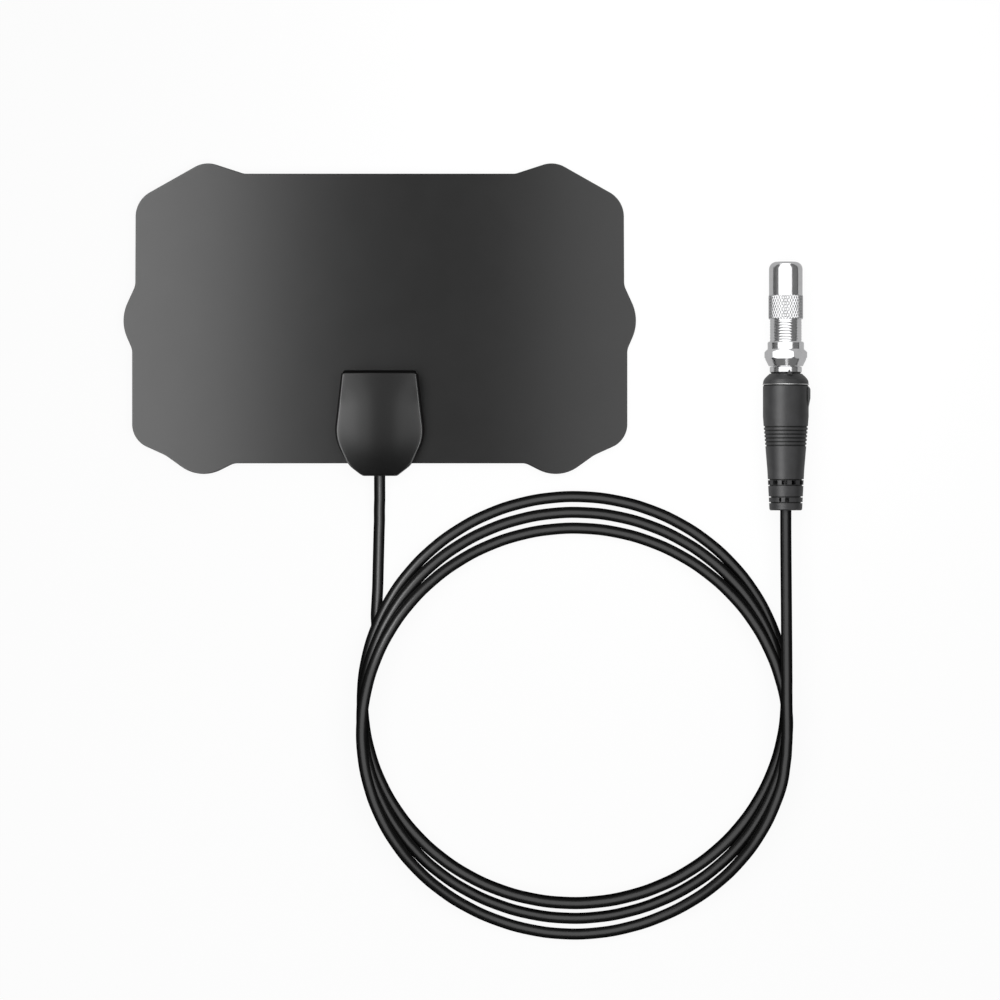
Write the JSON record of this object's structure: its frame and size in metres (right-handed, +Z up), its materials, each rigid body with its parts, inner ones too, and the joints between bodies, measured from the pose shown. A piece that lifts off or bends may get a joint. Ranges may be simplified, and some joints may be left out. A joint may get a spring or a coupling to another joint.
{
  "type": "indoor tv antenna",
  "caption": "Flat indoor television aerial: a thin lobed panel clamped in a small crowned housing, with a coiled coaxial lead and a push-in plug.",
  "frame": {"origin": "on the table under the middle of the panel and its housing", "axes": "+X to the right across the panel, +Y up the panel and away from the lead, +Z up through the panel's front face"},
  "size_m": [0.1956, 0.2214, 0.013],
  "materials": {
    "panel_film": "satin black laminated film",
    "antenna_foil": "rolled foil",
    "housing_plastic": "satin black moulded plastic",
    "board_laminate": "green solder mask",
    "tinned_brass": "tinned",
    "ferrite": "sintered",
    "copper_wire": "bare copper",
    "clip_steel": "tinned spring strip",
    "braid_copper": "tinned braid",
    "white_insulation": "natural polymer",
    "lead_jacket": "glossy black jacket",
    "boot_rubber": "moulded black, slightly glossy",
    "nickel_plate": "bright nickel plate"
  },
  "bodies": {
    "root": {"front_sheet": "panel_film", "back_sheet": "panel_film", "foil_left": "antenna_foil", "foil_right": "antenna_foil", "front_cover": "housing_plastic", "rear_cover": "housing_plastic", "circuit_board": "board_laminate", "foil_eyelets": "tinned_brass", "balun_core": "ferrite", "balun_winding": "copper_wire", "braid_clip": "clip_steel", "lead_braid": "braid_copper", "lead_dielectric": "white_insulation", "lead_conductor": "copper_wire", "cord_lead": "lead_jacket", "cord_coil": "lead_jacket", "cord_tail": "lead_jacket", "plug_boot": "boot_rubber", "crimp_sleeve": "nickel_plate", "connector_body": "nickel_plate", "coupling_nut": "nickel_plate", "adapter_body": "nickel_plate", "adapter_insulator": "white_insulation", "adapter_pin": "tinned_brass", "plug_dielectric": "white_insulation", "plug_conductor": "copper_wire"}
  },
  "joints": []
}
